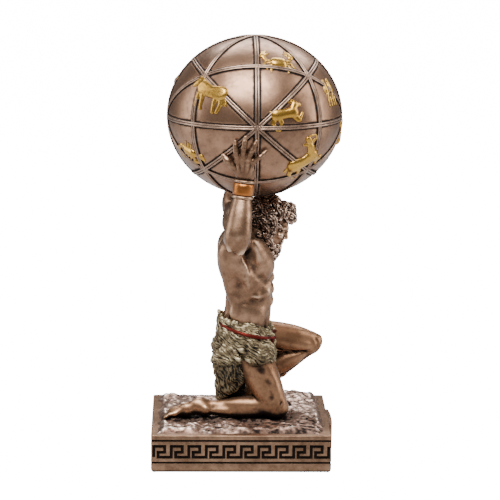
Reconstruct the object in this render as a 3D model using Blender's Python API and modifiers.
"""A kneeling Atlas who carries a celestial globe, on a plinth with a Greek key.

The statuette is three castings: the plinth with its rocky ground, the man with his hair, his
animal skin and his wristbands, and the globe with its raised bands and zodiac figures.
He looks along +X, his right side is towards -Y, and the origin lies under the plinth's middle.
"""

import math

import bmesh
import bpy
from mathutils import Matrix, Vector, noise

for old in list(bpy.data.objects):
    bpy.data.objects.remove(old, do_unlink=True)

# Plinth, in metres
PLINTH_WIDTH = 0.0964
PLINTH_DEPTH = 0.0814
PLINTH_HEIGHT = 0.0207
CORNER_ROUND = 0.0012
FOOT_ROUND = 0.0022
TOP_EDGE_ROUND = 0.0004
UPPER_LINE_DROP = 0.0029
LOWER_LINE_RISE = 0.0061
LINE_WIDTH = 0.0010
KEY_RISE = 0.0122
KEY_HEIGHT = 0.0060
KEY_PITCH = 0.0094
KEY_STROKE = 0.0012
KEY_DEPTH = 0.0007
KEY_END_MARGIN = 0.0016
PLAQUE_WIDTH = 0.0310
PLAQUE_HEIGHT = 0.0132
PLAQUE_RISE = 0.0129
PLAQUE_PROUD = 0.0025
PLAQUE_CROWN = 0.0008

# Rocky ground inside the plinth's flat rim
RIM_WIDTH = 0.0025
ROCK_SINK = 0.0009
ROCK_HEIGHT = 0.0019
ROCK_ROUGHNESS = 0.0014
ROCK_GRAIN = 0.0130
ROCK_CELL = 0.0062

# Globe: a little flatter from pole to pole than it is wide
GLOBE_RADIUS = 0.0462
POLE_RADIUS = 0.0425
GLOBE_FORWARD = 0.0064
BAND_WIDTH = 0.0027
BAND_HEIGHT = 0.0008
SIGN_SIZE = 0.0150
SIGN_RELIEF = 0.0009
SIGN_ROOT = 0.0020

# Figure, from the plinth's top to the underside of the globe
FIGURE_HEIGHT = 0.1235
FLESH_GRAIN = 0.0009
FIGURE_GRAIN = 0.00062
FIGURE_FACES_KEPT = 0.0205

# What two castings keep between them where they meet
GAP = 0.0003

UNIT = FIGURE_HEIGHT / 123.5
GLOBE_CENTRE = Vector((GLOBE_FORWARD, 0, PLINTH_HEIGHT + FIGURE_HEIGHT + POLE_RADIUS))

statue = bpy.data.collections.new("kneeling_atlas")
cutters = bpy.data.collections.new("cutters")
bpy.context.scene.collection.children.link(statue)
bpy.context.scene.collection.children.link(cutters)


def painted(name, colour, roughness, metallic):
    """A finish: bronze powder cast in resin, as it looks from afar."""
    finish = bpy.data.materials.new(name)
    finish.use_nodes = True
    shader = finish.node_tree.nodes["Principled BSDF"]
    shader.inputs["Base Color"].default_value = (*colour, 1)
    shader.inputs["Roughness"].default_value = roughness
    shader.inputs["Metallic"].default_value = metallic
    return finish


def solid(name, shape, collection):
    """An object in the given collection from a finished bmesh, which is freed."""
    mesh = bpy.data.meshes.new(name)
    bmesh.ops.recalc_face_normals(shape, faces=shape.faces)
    shape.to_mesh(mesh)
    shape.free()
    made = bpy.data.objects.new(name, mesh)
    collection.objects.link(made)
    if collection is cutters:
        made.hide_render = True
        made.display_type = "WIRE"
    return made


def carve(target, tool, operation):
    """A Boolean of the tool on the target, left on the target as a modifier."""
    cut = target.modifiers.new(tool.name, "BOOLEAN")
    cut.operation = operation
    cut.object = tool
    return cut


def evaluated(source):
    """The source's mesh with its modifiers applied, as a new mesh."""
    depsgraph = bpy.context.evaluated_depsgraph_get()
    return bpy.data.meshes.new_from_object(source.evaluated_get(depsgraph))


def settle(target):
    """Applies the modifiers and keeps only the largest shell, without pockets sealed between two shapes."""
    mesh = evaluated(target)
    target.modifiers.clear()
    shape = bmesh.new()
    shape.from_mesh(mesh)
    left = set(shape.verts)
    shells = []
    while left:
        shell = {left.pop()}
        edge = list(shell)
        while edge:
            near = {e.other_vert(v) for v in edge for e in v.link_edges} & left
            left -= near
            shell |= near
            edge = list(near)
        shells.append(shell)
    shells.sort(key=len)
    for shell in shells[:-1]:
        bmesh.ops.delete(shape, geom=list(shell), context="VERTS")
    shape.to_mesh(target.data)
    shape.free()


def box(shape, low, high):
    """Adds an axis-aligned box to the bmesh, from its low to its high corner."""
    low = Vector(low)
    high = Vector(high)
    grow = Matrix.Diagonal((*(high - low), 1))
    bmesh.ops.create_cube(shape, size=1, matrix=Matrix.Translation((low + high) / 2) @ grow)


# Plinth


def plinth_block():
    """The block with soft corners and a foot that is rounded like a roll."""
    shape = bmesh.new()
    half = Vector((PLINTH_WIDTH / 2, PLINTH_DEPTH / 2, 0))
    box(shape, -half, half + Vector((0, 0, PLINTH_HEIGHT)))
    upright = [e for e in shape.edges if abs(e.verts[0].co.z - e.verts[1].co.z) > PLINTH_HEIGHT / 2]
    bmesh.ops.bevel(shape, geom=upright, offset=CORNER_ROUND, segments=2, profile=0.5, affect="EDGES")
    for level, reach, steps in ((0, FOOT_ROUND, 3), (PLINTH_HEIGHT, TOP_EDGE_ROUND, 1)):
        ring = [e for e in shape.edges if all(abs(v.co.z - level) < 1e-6 for v in e.verts)]
        bmesh.ops.bevel(shape, geom=ring, offset=reach, segments=steps, profile=0.5, affect="EDGES")
    return solid("plinth", shape, statue)


def line_cutter(name, height):
    """A square wire that runs round the block and cuts one fine line into its faces."""
    path = bpy.data.curves.new(name, "CURVE")
    path.dimensions = "3D"
    path.bevel_depth = LINE_WIDTH / 2
    path.bevel_resolution = 0
    run = path.splines.new("POLY")
    run.points.add(3)
    corners = ((-1, -1), (1, -1), (1, 1), (-1, 1))
    for point, (x, y) in zip(run.points, corners):
        point.co = (x * PLINTH_WIDTH / 2, y * PLINTH_DEPTH / 2, height, 1)
    run.use_cyclic_u = True
    wire = bpy.data.objects.new(name, path)
    cutters.objects.link(wire)
    mesh = evaluated(wire)
    bpy.data.objects.remove(wire, do_unlink=True)
    shape = bmesh.new()
    shape.from_mesh(mesh)
    return solid(name, shape, cutters)


def key_path(side):
    """The middle line of the running key on one side, as (along, up) points from its left end."""
    run = side - 2 * KEY_END_MARGIN
    repeats = max(2, round(run / KEY_PITCH))
    step = run / repeats
    turns = ((0, 0), (0, 1), (0.625, 1), (0.625, 0.46), (0.25, 0.46), (0.25, 0))
    points = [(-run / 2 + (i + u) * step, v * KEY_HEIGHT) for i in range(repeats) for u, v in turns]
    points.append((run / 2, 0))
    points.append((run / 2, KEY_HEIGHT))
    return points


def key_strip(shape, side, reach, turn):
    """Adds the running key of one side: a ribbon along its middle line, standing in the face."""
    low = KEY_RISE - KEY_HEIGHT / 2
    spin = Matrix.Rotation(turn, 3, "Z")
    front = []
    back = []
    for along, up in key_path(side):
        front.append(shape.verts.new(spin @ Vector((along, -reach - KEY_DEPTH, low + up))))
        back.append(shape.verts.new(spin @ Vector((along, -reach + KEY_DEPTH, low + up))))
    for i in range(len(front) - 1):
        shape.faces.new((front[i], front[i + 1], back[i + 1], back[i]))


def key_cutter():
    """The running keys of all four sides, each ribbon thickened to the width of the stroke."""
    shape = bmesh.new()
    for quarter in range(4):
        along_x = quarter % 2 == 0
        side = PLINTH_WIDTH if along_x else PLINTH_DEPTH
        reach = PLINTH_DEPTH / 2 if along_x else PLINTH_WIDTH / 2
        key_strip(shape, side, reach, quarter * math.pi / 2)
    strip = solid("running_key", shape, cutters)
    thick = strip.modifiers.new("stroke", "SOLIDIFY")
    thick.thickness = KEY_STROKE
    thick.offset = 0
    thick.use_even_offset = True
    return strip


def plaque_block():
    """The bare name plate on the side that the man faces, a little crowned."""
    shape = bmesh.new()
    face = PLINTH_WIDTH / 2
    low = PLAQUE_RISE - PLAQUE_HEIGHT / 2
    start = Vector((face - PLAQUE_PROUD, -PLAQUE_WIDTH / 2, low))
    end = Vector((face + PLAQUE_PROUD, PLAQUE_WIDTH / 2, low + PLAQUE_HEIGHT))
    box(shape, start, end)
    across = [e for e in shape.edges if abs(e.verts[0].co.y - e.verts[1].co.y) > PLAQUE_WIDTH / 2]
    bmesh.ops.subdivide_edges(shape, edges=across, cuts=5)
    for vert in shape.verts:
        if vert.co.x > face:
            vert.co.x -= PLAQUE_CROWN * (2 * vert.co.y / PLAQUE_WIDTH) ** 2
    return solid("plaque_block", shape, cutters)


def rock_level(x, y):
    """How far the rocky ground stands above the rim at a place on the plinth."""
    edge_x = PLINTH_WIDTH / 2 - RIM_WIDTH - abs(x)
    edge_y = PLINTH_DEPTH / 2 - RIM_WIDTH - abs(y)
    inward = min(1.0, max(0.0, min(edge_x, edge_y) / ROCK_CELL))
    spot = Vector((x, y, 0)) / ROCK_GRAIN
    rough = noise.fractal(spot, 1.0, 2.2, 3)
    boulder = Vector((x - 0.31 * PLINTH_WIDTH, y - 0.36 * PLINTH_DEPTH)).length / ROCK_GRAIN
    lump = 1.6 * ROCK_HEIGHT * max(0.0, 1 - boulder * boulder)
    return inward * (ROCK_HEIGHT + lump + ROCK_ROUGHNESS * rough) - ROCK_SINK * (1 - inward)


def rock_slab(name, collection, lift, depth):
    """The rocky ground as a closed slab: a grid raised to the rock's height, with a flat underside."""
    width = PLINTH_WIDTH - 2 * RIM_WIDTH
    length = PLINTH_DEPTH - 2 * RIM_WIDTH
    across = max(4, round(width / ROCK_CELL))
    along = max(4, round(length / ROCK_CELL))
    shape = bmesh.new()
    bmesh.ops.create_grid(shape, x_segments=across, y_segments=along, size=0.5)
    for vert in shape.verts:
        vert.co.x *= width
        vert.co.y *= length
    base = shape.faces[:]
    skirt = bmesh.ops.extrude_face_region(shape, geom=base)["geom"]
    upper = [item for item in skirt if isinstance(item, bmesh.types.BMVert)]
    top = PLINTH_HEIGHT + lift
    for vert in shape.verts:
        vert.co.z = PLINTH_HEIGHT - depth
    for vert in upper:
        vert.co.z = top + rock_level(vert.co.x, vert.co.y)
    bmesh.ops.delete(shape, geom=base, context="FACES_ONLY")
    rim = [e for e in shape.edges if e.is_boundary]
    bmesh.ops.contextual_create(shape, geom=rim)
    return solid(name, shape, collection)


def make_plinth():
    block = plinth_block()
    for name, height in (("upper_line", PLINTH_HEIGHT - UPPER_LINE_DROP), ("lower_line", LOWER_LINE_RISE)):
        carve(block, line_cutter(name, height), "DIFFERENCE")
    carve(block, key_cutter(), "DIFFERENCE")
    carve(block, plaque_block(), "UNION")
    rocks = rock_slab("rocks", cutters, 0, 2 * ROCK_HEIGHT)
    carve(block, rocks, "UNION")
    block.data.materials.append(painted("plinth_bronze", (0.30, 0.19, 0.13), 0.42, 0.75))
    return block


# Globe


def on_globe(east, north, outward=0.0):
    """A point over the globe: degrees east of the side towards -Y, degrees north, metres outward."""
    east = math.radians(east)
    north = math.radians(north)
    out = Vector((math.sin(east) * math.cos(north), -math.cos(east) * math.cos(north), math.sin(north)))
    squash = Vector((GLOBE_RADIUS + outward, GLOBE_RADIUS + outward, POLE_RADIUS + outward))
    return GLOBE_CENTRE + out * squash


def globe_ball(name, collection, outward, segments, rings):
    shape = bmesh.new()
    bmesh.ops.create_uvsphere(shape, u_segments=segments, v_segments=rings, radius=1)
    reach = Vector((GLOBE_RADIUS + outward, GLOBE_RADIUS + outward, POLE_RADIUS + outward))
    bmesh.ops.scale(shape, verts=shape.verts, vec=reach)
    bmesh.ops.translate(shape, verts=shape.verts, vec=GLOBE_CENTRE)
    return solid(name, shape, collection)


def band_planes():
    """The nine planes of the bands: three square to each other, six halfway between two of them."""
    axes = (Vector((1, 0, 0)), Vector((0, 1, 0)), Vector((0, 0, 1)))
    planes = list(axes)
    for i in range(3):
        for sign in (1, -1):
            planes.append((axes[i] + sign * axes[(i + 1) % 3]).normalized())
    return planes


def banded_globe():
    """The ball with its bands: it is slit along both edges of each band, and what lies between rises."""
    shape = bmesh.new()
    bmesh.ops.create_uvsphere(shape, u_segments=24, v_segments=12, radius=1)
    half = BAND_WIDTH / 2 / GLOBE_RADIUS
    planes = band_planes()
    for plane in planes:
        for side in (-half, half):
            whole = shape.verts[:] + shape.edges[:] + shape.faces[:]
            bmesh.ops.bisect_plane(shape, geom=whole, dist=1e-6, plane_co=plane * side, plane_no=plane)
    for vert in shape.verts:
        vert.co.normalize()
    bands = [f for f in shape.faces if any(abs(f.calc_center_median().dot(p)) < half for p in planes)]
    raised = bmesh.ops.extrude_face_region(shape, geom=bands)["geom"]
    for vert in [item for item in raised if isinstance(item, bmesh.types.BMVert)]:
        vert.co *= 1 + BAND_HEIGHT / GLOBE_RADIUS
    bmesh.ops.delete(shape, geom=bands, context="FACES")
    for vert in shape.verts:
        rise = vert.co.length - 1
        out = vert.co.normalized()
        size = Vector((GLOBE_RADIUS, GLOBE_RADIUS, POLE_RADIUS))
        vert.co = GLOBE_CENTRE + out * size + out * rise * GLOBE_RADIUS
    bmesh.ops.dissolve_degenerate(shape, dist=1e-6, edges=shape.edges)
    return solid("celestial_globe", shape, statue)


# Zodiac figures: strokes (from, to, thickness at each end) on a sheet one unit wide, u east, v north


def beast(neck, head, legs, tail, arch=0.0):
    """A four-legged animal that faces east: its legs as (hip u, knee u, foot u, foot v)."""
    strokes = [((-0.24, 0.02), (0.02, 0.0 + arch), 0.15, 0.12), ((0.02, arch), (0.24, 0.04), 0.12, 0.145)]
    strokes.append(((0.24, 0.08), neck, 0.12, 0.08))
    strokes.append((neck, head, 0.085, 0.05))
    for hip, knee, foot, low in legs:
        strokes.append(((hip, -0.04), (knee, -0.22), 0.07, 0.05))
        strokes.append(((knee, -0.22), (foot, low), 0.045, 0.035))
    strokes.append(((-0.32, 0.06), tail, 0.04, 0.03))
    return strokes


def standing():
    return ((-0.30, -0.34, -0.30, -0.44), (-0.20, -0.17, -0.20, -0.46), (0.20, 0.17, 0.14, -0.46), (0.29, 0.31, 0.30, -0.42))


def bull():
    strokes = beast((0.40, 0.20), (0.54, 0.06), standing(), (-0.46, -0.22))
    strokes.append(((0.42, 0.24), (0.47, 0.40), 0.04, 0.025))
    strokes.append(((0.38, 0.22), (0.30, 0.37), 0.04, 0.025))
    return strokes


def mirrored(strokes):
    return [((-a[0], a[1]), (-b[0], b[1]), thick, thin) for a, b, thick, thin in strokes]


def lion():
    strokes = beast((0.34, 0.20), (0.50, 0.18), standing(), (-0.52, 0.30), 0.02)
    strokes.append(((0.27, 0.10), (0.33, 0.26), 0.15, 0.11))
    return strokes


def ram():
    legs = ((-0.30, -0.38, -0.30, -0.44), (-0.20, -0.14, -0.22, -0.46), (0.22, 0.36, 0.46, -0.12), (0.28, 0.42, 0.54, -0.02))
    strokes = beast((0.34, 0.26), (0.48, 0.24), legs, (-0.42, 0.14), 0.03)
    strokes.append(((0.36, 0.32), (0.24, 0.44), 0.045, 0.03))
    strokes.append(((0.34, 0.30), (0.16, 0.36), 0.045, 0.03))
    return strokes


def archer():
    legs = ((-0.30, -0.40, -0.34, -0.44), (-0.20, -0.16, -0.24, -0.46), (0.20, 0.34, 0.30, -0.30), (0.27, 0.42, 0.48, -0.20))
    strokes = beast((0.27, 0.30), (0.28, 0.42), legs, (-0.50, -0.08))
    strokes.append(((0.29, 0.50), (0.29, 0.54), 0.075, 0.07))
    strokes.append(((0.27, 0.38), (0.50, 0.42), 0.045, 0.03))
    strokes.append(((0.27, 0.37), (0.12, 0.46), 0.045, 0.03))
    strokes += arc((0.36, 0.40), 0.19, -80, 80, 4, 0.025)
    return strokes


def arc(centre, radius, start, end, steps, width):
    """A run of strokes along part of a circle, in degrees."""
    angles = [math.radians(start + (end - start) * i / steps) for i in range(steps + 1)]
    points = [(centre[0] + radius * math.cos(a), centre[1] + radius * math.sin(a)) for a in angles]
    return [(a, b, width, width) for a, b in zip(points, points[1:])]


def crab():
    strokes = [((-0.14, 0), (0.14, 0), 0.17, 0.17)]
    for side in (-1, 1):
        strokes.append(((0.18 * side, 0.08), (0.40 * side, 0.12), 0.05, 0.05))
        strokes.append(((0.40 * side, 0.12), (0.38 * side, 0.30), 0.05, 0.09))
        strokes.append(((0.38 * side, 0.30), (0.26 * side, 0.40), 0.07, 0.03))
        for i in range(3):
            bend = (side * (0.36 - 0.05 * i), -0.06 - 0.10 * i)
            strokes.append(((0.16 * side, -0.02 - 0.05 * i), bend, 0.04, 0.035))
            strokes.append((bend, (side * (0.44 - 0.09 * i), -0.20 - 0.08 * i), 0.035, 0.025))
    return strokes


def scorpion():
    strokes = [((0.10, 0.10), (-0.08, -0.04), 0.12, 0.09)]
    strokes += arc((-0.10, -0.22), 0.18, 80, 300, 6, 0.05)
    for side in (-1, 1):
        strokes.append(((0.14, 0.12 + 0.04 * side), (0.30, 0.16 + 0.16 * side), 0.04, 0.04))
        strokes.append(((0.30, 0.16 + 0.16 * side), (0.44, 0.22 + 0.08 * side), 0.07, 0.03))
        for i in range(3):
            spot = (0.06 - 0.08 * i, 0.05 - 0.06 * i)
            strokes.append((spot, (spot[0] + 0.16 * side, spot[1] - 0.22 * side), 0.035, 0.025))
    return strokes


def fish(centre, turn):
    """One fish, its head towards the given direction in degrees."""
    along = Vector((math.cos(math.radians(turn)), math.sin(math.radians(turn))))
    across = Vector((-along.y, along.x))
    middle = Vector(centre)
    strokes = [(middle + 0.16 * along, middle - 0.08 * along, 0.07, 0.11)]
    strokes.append((middle - 0.08 * along, middle - 0.26 * along, 0.10, 0.04))
    for side in (-1, 1):
        strokes.append((middle - 0.26 * along, middle - 0.38 * along + 0.11 * side * across, 0.035, 0.035))
    return strokes


def fishes():
    strokes = fish((-0.06, 0.22), 20) + fish((0.06, -0.22), 200)
    strokes += arc((0.0, 0.0), 0.30, -50, 50, 4, 0.02)
    return strokes


def person(lean, left_hand, right_hand, feet):
    """A standing person: where the body leans, both hands, and the feet's u."""
    hip = (0.0, -0.02)
    neck = (lean, 0.28)
    strokes = [(hip, neck, 0.09, 0.10), ((lean, 0.42), (lean, 0.44), 0.075, 0.07)]
    for hand, side in ((left_hand, -1), (right_hand, 1)):
        elbow = ((lean + 0.08 * side + hand[0]) / 2 + 0.04 * side, (0.26 + hand[1]) / 2 - 0.04)
        strokes.append(((lean + 0.08 * side, 0.26), elbow, 0.045, 0.04))
        strokes.append((elbow, hand, 0.04, 0.03))
    for foot in feet:
        strokes.append(((foot * 0.4, -0.06), (foot * 0.9, -0.26), 0.07, 0.05))
        strokes.append(((foot * 0.9, -0.26), (foot, -0.47), 0.05, 0.035))
    return strokes


def twins():
    pair = []
    for shift, side in ((-0.17, 1), (0.17, -1)):
        for a, b, thick, thin in person(0.02 * side, (-0.15, 0.02), (0.15, 0.02), (-0.09, 0.09)):
            pair.append(((a[0] + shift, a[1]), (b[0] + shift, b[1]), thick * 0.85, thin * 0.85))
    return pair


def maiden():
    strokes = person(0.02, (-0.22, 0.10), (0.26, 0.34), (-0.07, 0.07))
    strokes.append(((0.0, -0.04), (0.0, -0.40), 0.10, 0.17))
    strokes.append(((0.26, 0.34), (0.32, 0.50), 0.03, 0.05))
    return strokes


def water_bearer():
    strokes = person(-0.04, (-0.24, 0.02), (0.24, 0.20), (-0.12, 0.12))
    strokes.append(((0.26, 0.26), (0.36, 0.16), 0.10, 0.06))
    strokes += arc((0.30, -0.18), 0.26, 70, -40, 4, 0.03)
    return strokes


def scales():
    strokes = [((0, -0.34), (0, 0.34), 0.035, 0.035), ((-0.36, 0.26), (0.36, 0.26), 0.035, 0.035)]
    for side in (-1, 1):
        for edge in (-0.12, 0.12):
            strokes.append(((0.34 * side, 0.26), (0.34 * side + edge, -0.06), 0.02, 0.02))
        strokes += arc((0.34 * side, -0.04), 0.14, 190, 350, 4, 0.04)
    strokes.append(((-0.14, -0.38), (0.14, -0.38), 0.05, 0.05))
    return strokes


def sea_goat():
    strokes = [((-0.06, 0.02), (0.18, 0.06), 0.13, 0.12), ((0.18, 0.10), (0.32, 0.26), 0.10, 0.07)]
    strokes.append(((0.32, 0.26), (0.46, 0.20), 0.07, 0.045))
    strokes.append(((0.32, 0.32), (0.18, 0.48), 0.04, 0.025))
    for reach, low in ((0.34, -0.14), (0.42, -0.02)):
        strokes.append(((0.20, 0.0), (reach, low), 0.055, 0.04))
        strokes.append(((reach, low), (reach - 0.08, low - 0.14), 0.04, 0.03))
    strokes += [((-0.06, 0.02), (-0.26, -0.10), 0.12, 0.08)]
    strokes += arc((-0.26, 0.08), 0.18, 270, 130, 4, 0.05)
    return strokes


def sign_places():
    """Each sign with its degrees east and north, its size against the usual one and its turn."""
    return (
        ("bull", mirrored(bull()), -35, 24, 1.25, -8),
        ("crab", crab(), 21.5, 51, 1.2, -6),
        ("ram", ram(), 19, 8.5, 1.0, 4),
        ("archer", archer(), 37, -28, 1.25, 24),
        ("scorpion", scorpion(), -55, -22, 1.2, -60),
        ("twins", twins(), 64, 21, 1.1, 0),
        ("maiden", maiden(), 83, -8, 1.1, 0),
        ("lion", lion(), 112, 24, 1.25, 0),
        ("scales", scales(), 158, 20, 1.15, 0),
        ("sea_goat", sea_goat(), -100, 24, 1.2, 0),
        ("fishes", fishes(), 128, -26, 1.15, 0),
        ("water_bearer", water_bearer(), -155, 16, 1.15, 0),
    )


def unit_ball(name, sides, rings):
    """A ball of radius 1 that rods and blobs are shaped from."""
    shape = bmesh.new()
    bmesh.ops.create_uvsphere(shape, u_segments=sides, v_segments=rings, radius=1)
    mesh = bpy.data.meshes.new(name)
    shape.to_mesh(mesh)
    shape.free()
    return mesh


FINE_BALL = unit_ball("fine_ball", 14, 9)
COARSE_BALL = unit_ball("coarse_ball", 8, 5)


def add_ball(shape, ball, move):
    """Adds the ball to the bmesh with every corner moved by the given rule."""
    copy = ball.copy()
    for vert in copy.vertices:
        vert.co = move(vert.co)
    shape.from_mesh(copy)
    bpy.data.meshes.remove(copy)


def stroke(shape, start, end, thick, thin, ball=COARSE_BALL):
    """Adds a tapered rod with round ends: a ball drawn out from start to end."""
    along = end - start
    turn = Vector((0, 0, 1)).rotation_difference(along).to_matrix()

    def move(corner):
        if corner.z < 0:
            return start + turn @ corner * thick
        return end + turn @ corner * thin

    add_ball(shape, ball, move)


def zodiac_sign(name, strokes, east, north, size, turn):
    """One sign laid on the globe: its strokes are rods half sunk in the ball's surface."""
    out = (on_globe(east, north, 0.001) - on_globe(east, north)).normalized()
    side = Vector((0, 0, 1)).cross(out).normalized()
    rise = out.cross(side)
    spin = math.radians(turn)
    along = side * math.cos(spin) + rise * math.sin(spin)
    up = rise * math.cos(spin) - side * math.sin(spin)
    width = SIGN_SIZE * size
    centre = on_globe(east, north)

    def lay(u, v):
        flat = centre + (along * u + up * v) * width - GLOBE_CENTRE
        squash = Vector((GLOBE_RADIUS, GLOBE_RADIUS, POLE_RADIUS))
        round_out = Vector([a / b for a, b in zip(flat, squash)]).normalized()
        return GLOBE_CENTRE + round_out * squash

    shape = bmesh.new()
    for a, b, thick, thin in strokes:
        stroke(shape, lay(*a), lay(*b), max(thick * width, SIGN_RELIEF), max(thin * width, SIGN_RELIEF * 0.7))
    for vert in shape.verts:
        flat = vert.co - GLOBE_CENTRE
        squash = Vector((GLOBE_RADIUS, GLOBE_RADIUS, POLE_RADIUS))
        unit = Vector([a / b for a, b in zip(flat, squash)])
        rise = (unit.length - 1) * GLOBE_RADIUS
        limited = SIGN_RELIEF * 1.5 * math.tanh(rise / SIGN_RELIEF) if rise > 0 else rise - SIGN_ROOT
        vert.co = GLOBE_CENTRE + unit.normalized() * squash + unit.normalized() * limited
    sign = solid(name, shape, cutters)
    merge = sign.modifiers.new("merge", "REMESH")
    merge.mode = "VOXEL"
    merge.voxel_size = 0.00042
    thin_out = sign.modifiers.new("thin_out", "DECIMATE")
    thin_out.ratio = 0.0095
    return sign


def make_globe():
    globe = banded_globe()
    for name, strokes, east, north, size, turn in sign_places():
        carve(globe, zodiac_sign(name, strokes, east, north, size, turn), "UNION")
    settle(globe)
    globe.data.materials.append(painted("globe_bronze", (0.33, 0.22, 0.16), 0.36, 0.8))
    return globe


# Figure: places and radii in millimetres of a man 123.5 mm from the ground to the crown


def place(x, y, z):
    return Vector((x, y, z)) * UNIT + Vector((0, 0, PLINTH_HEIGHT))


def bone(shape, start, end, thick, thin):
    stroke(shape, start, end, thick * UNIT, thin * UNIT, FINE_BALL)


def blob(shape, centre, radii, toward=Vector((0, 0, 1))):
    """Adds an ellipsoid whose third radius lies along the given direction."""
    turn = Vector((0, 0, 1)).rotation_difference(toward).to_matrix()
    size = Vector(radii) * UNIT
    add_ball(shape, FINE_BALL, lambda corner: centre + turn @ (corner * size))


def chain(shape, points, radii):
    """A run of rods through the points, with a radius at each."""
    for a, b, thick, thin in zip(points, points[1:], radii, radii[1:]):
        bone(shape, a, b, thick, thin)


def torso(shape):
    blob(shape, place(2.4, 0, 87), (14.2, 16.6, 16.5))
    blob(shape, place(5.2, 0, 66), (11.0, 12.8, 16))
    blob(shape, place(1.5, 0, 48), (13, 15, 11.5))
    blob(shape, place(8.0, 0, 66), (8.8, 8, 18))
    for side in (-1, 1):
        blob(shape, place(9.6, 8.2 * side, 86), (7.8, 8.8, 8.6), Vector((0.2, 0, 1)))
        blob(shape, place(-1.6, 10.4 * side, 83), (7.6, 5.4, 20), Vector((-0.14, 0.2 * side, 1)))
        blob(shape, place(-6.6, 7.6 * side, 93), (5.8, 8, 10))
        blob(shape, place(4.4, 10.4 * side, 62), (8.4, 4, 8))
        blob(shape, place(-3.6, 3.8 * side, 68), (3.2, 4.4, 20))
        bone(shape, place(8.5, 3 * side, 99), place(0, 17 * side, 101), 3.4, 5)
        bone(shape, place(3, 4 * side, 101), place(-2.4, 16 * side, 102), 6, 6.2)
    bone(shape, place(5, 0, 96), place(13.5, 0, 104), 7.4, 6.2)


def grip(side, east, north, out):
    """A point that the hand on one side holds: its place on the globe, and how far it stands off."""
    return on_globe(east if side < 0 else 180 - east, north, BAND_HEIGHT + out * UNIT)


def arm_points(side):
    """Shoulder, elbow, wrist and palm: the hand's place comes from the globe, the elbow's from the man."""
    shoulder = place(-2.4, 19 * side, 101)
    elbow = place(-3.2, 46 * side, 110.4)
    return shoulder, elbow, grip(side, -9.5, -42, 4.2), grip(side, -7.8, -30, 1.2)


def arm(shape, side):
    shoulder, elbow, wrist, palm = arm_points(side)
    bone(shape, shoulder, elbow, 7.0, 5.6)
    blob(shape, shoulder.lerp(elbow, 0.1), (7.6, 7.0, 9), elbow - shoulder)
    blob(shape, shoulder.lerp(elbow, 0.55) + Vector((2.4, 0, 1.4)) * UNIT, (5.6, 5.6, 10), elbow - shoulder)
    blob(shape, shoulder.lerp(elbow, 0.5) + Vector((-2.6, 0, -0.8)) * UNIT, (5.2, 5.4, 11), elbow - shoulder)
    bone(shape, elbow, wrist, 5.3, 4.5)
    blob(shape, elbow.lerp(wrist, 0.30) + Vector((2.0, 0, 0)) * UNIT, (4.8, 5.2, 11), wrist - elbow)
    blob(shape, elbow.lerp(wrist, 0.36) + Vector((-1.8, 0, 0)) * UNIT, (4.4, 4.8, 12), wrist - elbow)


def hand(shape, side):
    """The wristband with its two rims, and the hand with its fingers spread over the globe."""
    shoulder, elbow, wrist, palm = arm_points(side)
    cuff_low = elbow.lerp(wrist, 0.66)
    cuff_top = elbow.lerp(wrist, 1.02)
    bone(shape, cuff_low.lerp(cuff_top, 0.15), cuff_top, 5.0, 4.7)
    for share in (0, 1):
        spot = cuff_low.lerp(cuff_top, share)
        blob(shape, spot, (5.8 - 0.3 * share, 5.6 - 0.3 * share, 1.1), wrist - elbow)
    blob(shape, wrist.lerp(palm, 0.75), (4.8, 2.8, 6.4), palm - wrist)
    roots = ((-12.6, -22.5), (-9.2, -21), (-5.8, -21), (-2.4, -23))
    tips = ((-13.6, -9.5), (-7.2, -6.2), (-0.6, -8.6), (5.4, -16))
    for (root_east, root_north), (tip_east, tip_north) in zip(roots, tips):
        knuckle = grip(side, root_east, root_north, 1.5)
        middle = grip(side, (root_east + tip_east) / 2, (root_north + tip_north) / 2, 1.9)
        tip = grip(side, tip_east, tip_north, 0.8)
        chain(shape, (palm, knuckle, middle, tip), (2.2, 1.75, 1.4, 1.15))
    thumb = (grip(side, -12, -32, 1.4), grip(side, -17.5, -26, 1.6), grip(side, -22, -20.3, 0.8))
    chain(shape, (palm, *thumb), (2.4, 2.1, 1.6, 1.25))


def kneeling_leg(shape):
    """The right leg: its knee and toes are on the ground, its shin lies back."""
    hip = place(4, -9, 45.5)
    knee = place(19.6, -14, 8.6)
    ankle = place(-19.5, -13, 7.6)
    bone(shape, hip, place(18.8, -14, 13), 9.4, 6.2)
    blob(shape, place(10.8, -12.2, 30), (6.6, 7.6, 15), Vector((0.42, -0.1, -1)))
    blob(shape, place(14.0, -12.6, 26), (5.2, 6.2, 12), Vector((0.42, -0.1, -1)))
    blob(shape, knee, (5.9, 5.9, 6.6))
    bone(shape, knee, ankle, 5.4, 3.6)
    blob(shape, place(4, -13.6, 8.9), (5.2, 6, 15), Vector((1, 0, 0.05)))
    blob(shape, ankle, (3.6, 4.2, 3.9))
    blob(shape, place(-22.6, -12.8, 9.0), (3.6, 3.7, 4.4), Vector((-1, 0, 0.3)))
    chain(shape, (place(-21.5, -12.8, 7.8), place(-29, -12.3, 6.8), place(-36, -12, 4.8)), (4.0, 4.0, 3.0))
    blob(shape, place(-33, -12, 5.2), (2.6, 5, 4.5), Vector((-1, 0, -0.25)))


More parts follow.
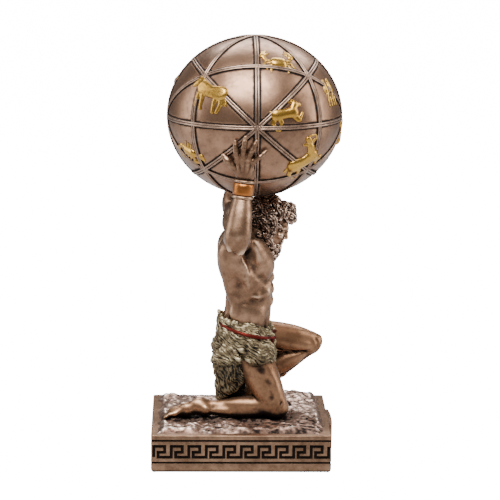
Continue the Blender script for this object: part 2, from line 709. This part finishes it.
def planted_leg(shape):
    """The left leg: the thigh reaches forward and the foot stands flat under it."""
    hip = place(6, 9, 44)
    knee = place(39.4, 17, 36.6)
    ankle = place(4.2, 14.6, 10)
    bone(shape, hip, knee, 9, 5.6)
    blob(shape, place(22, 13, 42), (6.8, 7.4, 15.5), knee - hip)
    blob(shape, knee, (6.0, 5.8, 6.0))
    bone(shape, knee, ankle, 5.2, 3.4)
    blob(shape, place(24.5, 16, 28.5), (5.2, 5.6, 12.5), knee - ankle)
    blob(shape, ankle, (3.6, 3.8, 4.0))
    chain(shape, (place(1.4, 14.6, 4.6), place(12, 15.4, 5.2), place(22, 16.4, 4.0)), (3.7, 3.8, 2.8))


def toes(shape):
    for i in range(5):
        across = -15.9 + 2.0 * i
        tip = place(-41.6 + 0.5 * i, across, 3.2)
        chain(shape, (place(-34, across, 5.0), place(-38.4, across + 0.1, 4.6), tip), (2.0, 1.7, 1.5))
        across = 12.8 + 1.9 * i
        tip = place(26 - 0.6 * i, across + 0.4, 3.6)
        chain(shape, (place(19, across, 4.4), tip), (1.9, 1.5))


def head_frame():
    """Where the head sits and how it bows: its own x looks forward, its z goes to the crown."""
    return Matrix.Translation(place(15.6, 0, 106.2)) @ Matrix.Rotation(math.radians(20), 4, "Y")


def head(shape):
    frame = head_frame()

    def spot(x, y, z):
        return frame @ (Vector((x, y, z)) * UNIT)

    blob(shape, spot(-1.2, 0, 3.4), (9.2, 7.6, 8.6))
    blob(shape, spot(3.8, 0, -3.4), (6, 5.6, 8.4))
    bone(shape, spot(8, -3, 1.7), spot(8, 3, 1.7), 1.5, 1.5)
    bone(shape, spot(9, 0, 0.8), spot(10.7, 0, -3.5), 0.9, 1.35)
    bone(shape, spot(8.6, -1.4, -6.4), spot(8.6, 1.4, -6.4), 1.0, 1.0)
    for side in (-1, 1):
        blob(shape, spot(6.6, 3.3 * side, -2.4), (2.4, 2.2, 2.6))
        blob(shape, spot(-0.6, 7.6 * side, -0.8), (2, 1, 2.6))
    return spot


def curl(shape, root, out, sweep, length, thick):
    """One lock: a rod that leaves the scalp, bends along the sweep and rolls back in."""
    a = root
    b = root + (out * 0.75 + sweep * 0.45) * length
    c = root + (out * 0.65 + sweep * 1.05) * length
    d = root + (out * 0.05 + sweep * 1.35) * length
    chain(shape, (a, b, c, d), (thick, thick * 0.95, thick * 0.8, thick * 0.45))


def hair_and_beard(shape, spot):
    """Thick curls all over the skull, combed off the brow, and a long curly beard."""
    locks = 78
    for i in range(locks):
        level = 1 - 1.5 * (i + 0.5) / locks
        around = i * 2.39996
        ring = math.sqrt(max(0.0, 1 - level * level))
        out = Vector((ring * math.cos(around), ring * math.sin(around), level))
        if out.x > 0.52 and out.z < 0.42:
            continue
        root = spot(-1.6 + 8.2 * out.x, 7.2 * out.y, 2.6 + 8.4 * out.z)
        sweep = Vector((-0.25, 0.35 * math.sin(2.7 * i), -1)) - out * out.z * -0.4
        heading = (spot(*out) - spot(0, 0, 0)).normalized()
        curl(shape, root, heading, sweep.normalized(), 3.1 * UNIT, 1.75)
    for i in range(7):
        across = (i - 3) * 1.9
        root = spot(7.4 - 0.12 * across * across, across, 6.2)
        curl(shape, root, Vector((1, 0, 0.1)), Vector((0.3, 0.12 * across, 0.9)).normalized(), 3.4 * UNIT, 1.9)
    beard_rows = ((-6.8, 4.6, 5), (-9.6, 4.0, 5), (-12.4, 3.0, 4), (-15.2, 1.8, 3))
    for row, (down, width, count) in enumerate(beard_rows):
        for i in range(count):
            across = (i / (count - 1) - 0.5) * 2 * width
            forward = 6.4 - 0.16 * across * across - 0.25 * row
            sway = Vector((0.25, 0.3 * math.sin(1.9 * i + row), -1)).normalized()
            curl(shape, spot(forward, across, down), Vector((0.8, 0.08 * across, 0)), sway, 3.0 * UNIT, 1.7)
    for side in (-1, 1):
        for i in range(4):
            root = spot(5.8 - 1.9 * i, (4.8 + 0.5 * i) * side, -6.8 + 1.6 * i)
            curl(shape, root, Vector((0.3, side, 0)).normalized(), Vector((0.2, 0, -1)), 2.9 * UNIT, 1.7)
    blob(shape, spot(3.6, 0, -10.5), (4.6, 4.6, 6))


def skin_point(around, down):
    """A point on the animal skin: an angle round the hips, and 0 at its top edge to 1 at the hem."""
    x = 1.0 + (12.2 + 3.4 * down) * math.cos(around)
    y = (13.4 + 4.8 * down) * math.sin(around)
    top = 54.5 - 0.5 * x
    hem = 33.5 + 1.5 * math.sin(around * 5 + 1)
    return place(x + 1.5 * down, y, top + (hem - top) * down)


def animal_skin(shape):
    """The skin: a wrap over the hips and both thighs, drawn in folds by the cord, with a tail behind."""
    blob(shape, place(0.4, 0, 45.5), (14.4, 16.2, 13), Vector((0.25, 0, 1)))
    bone(shape, place(2, -8.6, 46), place(9.2, -11.6, 36.5), 11, 9.8)
    bone(shape, place(4, 8.6, 45), place(12, 11, 42.5), 10.6, 9.4)
    folds = 30
    for i in range(folds):
        around = 2 * math.pi * i / folds
        slant = 0.22 * math.sin(i * 2.3)
        down = (skin_point(around + slant * share, share) for share in (0.04, 0.5, 0.98))
        chain(shape, tuple(down), (1.5, 2.1, 1.7))
    blob(shape, place(-6.4, -11, 30), (8, 3.2, 15.5), Vector((0.12, 0, -1)))
    chain(shape, (place(-5.6, -12, 32), place(-5.6, -12.4, 22), place(-7.4, -12, 14)), (4.6, 3.8, 1.4))
    chain(shape, (place(-11.5, -3, 40), place(-12.2, -6, 24), place(-11.8, -8, 11.5)), (3.4, 2.6, 1.5))
    rope = []
    for i in range(29):
        around = 2 * math.pi * i / 28
        x = 1.6 + 13.0 * math.cos(around)
        rope.append(place(x, 15.0 * math.sin(around), 49.6 - 0.37 * x))
    chain(shape, rope, [1.25] * len(rope))


def remeshed(made, grain, rounds):
    """Melts overlapping shapes into one skin of the given grain, then smooths it."""
    merge = made.modifiers.new("merge", "REMESH")
    merge.mode = "VOXEL"
    merge.voxel_size = grain
    soften = made.modifiers.new("soften", "SMOOTH")
    soften.factor = 0.5
    soften.iterations = rounds


def make_figure():
    shape = bmesh.new()
    torso(shape)
    for side in (-1, 1):
        arm(shape, side)
    kneeling_leg(shape)
    planted_leg(shape)
    flesh = solid("flesh", shape, cutters)
    remeshed(flesh, FLESH_GRAIN, 12)
    shape = bmesh.new()
    shape.from_mesh(evaluated(flesh))
    for side in (-1, 1):
        hand(shape, side)
    toes(shape)
    spot = head(shape)
    hair_and_beard(shape, spot)
    animal_skin(shape)
    man = solid("atlas_figure", shape, statue)
    remeshed(man, FIGURE_GRAIN, 2)
    thin_out = man.modifiers.new("thin_out", "DECIMATE")
    thin_out.ratio = FIGURE_FACES_KEPT
    carve(man, globe_ball("globe_seat", cutters, BAND_HEIGHT + GAP, 64, 32), "DIFFERENCE")
    carve(man, rock_slab("ground_seat", cutters, GAP, PLINTH_HEIGHT), "DIFFERENCE")
    settle(man)
    man.data.materials.append(painted("skin_bronze", (0.36, 0.21, 0.13), 0.34, 0.85))
    return man


make_plinth()
make_globe()
make_figure()
